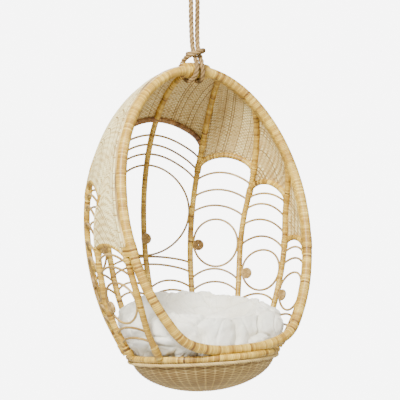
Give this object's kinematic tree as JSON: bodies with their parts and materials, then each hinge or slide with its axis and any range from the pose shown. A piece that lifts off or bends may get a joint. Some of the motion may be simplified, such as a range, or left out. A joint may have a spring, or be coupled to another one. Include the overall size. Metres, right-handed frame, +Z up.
{
  "type": "hanging egg chair",
  "caption": "Egg-shaped hanging chair of wrapped rattan poles with a woven hood, wicker bowl and round seat cushion, hung by a doubled rope from a swivel.",
  "frame": {"origin": "centre of the ceiling plate's top face, where it meets the ceiling", "axes": "+Z up along the swivel shaft, the chair hangs below and faces -Y, X runs across the chair"},
  "size_m": [0.8646, 0.7522, 1.6603],
  "materials": {
    "painted_steel": "satin",
    "zinc_steel": "satin",
    "rope_fibre": "rough",
    "cushion_cloth": "soft",
    "woven_cane": "matt",
    "wicker": "matt",
    "cane_core": "satin",
    "dark_cane": "satin",
    "wrapped_pole": "satin"
  },
  "bodies": {
    "ceiling": {"ceiling_plate": "painted_steel", "swivel_housing": "painted_steel", "thrust_bearing": "zinc_steel"},
    "swivel": {"swivel_eye": "zinc_steel", "shaft_nut": "zinc_steel"},
    "link": {"hanging_ring": "zinc_steel"},
    "rope": {"rope": "rope_fibre"},
    "chair": {"base_ring": "wrapped_pole", "bowl": "wicker", "bowl_border": "wicker", "cane_arches_centre": "cane_core", "cane_arches_left_1": "cane_core", "cane_arches_left_2": "cane_core", "cane_arches_left_3": "cane_core", "cane_arches_right_1": "cane_core", "cane_arches_right_2": "cane_core", "cane_arches_right_3": "cane_core", "cane_loop_centre": "cane_core", "cane_loop_left_1": "cane_core", "cane_loop_left_2": "cane_core", "cane_loop_left_3": "cane_core", "cane_loop_right_1": "cane_core", "cane_loop_right_2": "cane_core", "cane_loop_right_3": "cane_core", "disc_centre": "cane_core", "disc_left_1": "cane_core", "disc_left_2": "cane_core", "disc_left_3": "cane_core", "disc_right_1": "cane_core", "disc_right_2": "cane_core", "disc_right_3": "cane_core", "front_hoop": "wrapped_pole", "hanger_wrap": "wrapped_pole", "hood_arch_centre": "dark_cane", "hood_arch_left_1": "wrapped_pole", "hood_arch_left_2": "wrapped_pole", "hood_arch_left_3": "wrapped_pole", "hood_arch_right_1": "wrapped_pole", "hood_arch_right_2": "wrapped_pole", "hood_arch_right_3": "wrapped_pole", "hood_sheet_centre": "woven_cane", "hood_sheet_left_1": "woven_cane", "hood_sheet_left_2": "woven_cane", "hood_sheet_left_3": "woven_cane", "hood_sheet_right_1": "woven_cane", "hood_sheet_right_2": "woven_cane", "hood_sheet_right_3": "woven_cane", "rear_hoop": "wrapped_pole", "rib_centre": "wrapped_pole", "rib_left_1": "wrapped_pole", "rib_left_2": "wrapped_pole", "rib_left_3": "wrapped_pole", "rib_right_1": "wrapped_pole", "rib_right_2": "wrapped_pole", "rib_right_3": "wrapped_pole", "split_binding_left": "wrapped_pole", "split_binding_right": "wrapped_pole"},
    "cushion": {"seat_cushion": "cushion_cloth"}
  },
  "joints": [
    {"name": "swivel_spin", "type": "hinge", "parent": "ceiling", "child": "swivel", "pos_m": [0, 0, 0], "axis": [0, 0, 1], "continuous": true},
    {"name": "ring_swing", "type": "hinge", "parent": "swivel", "child": "link", "pos_m": [0, 0, -0.098], "axis": [1, 0, 0], "range_deg": [-20, 20]},
    {"name": "rope_swing", "type": "hinge", "parent": "link", "child": "rope", "pos_m": [0, 0, -0.1546], "axis": [0, 1, 0], "range_deg": [-20, 20]},
    {"name": "chair_rock", "type": "hinge", "parent": "rope", "child": "chair", "pos_m": [0, 0, -0.455], "axis": [1, 0, 0], "range_deg": [-8, 8]},
    {"name": "cushion_lift", "type": "slide", "parent": "chair", "child": "cushion", "axis": [0, 0.2827, 0.9592], "range_m": [0, 0.12]}
  ]
}
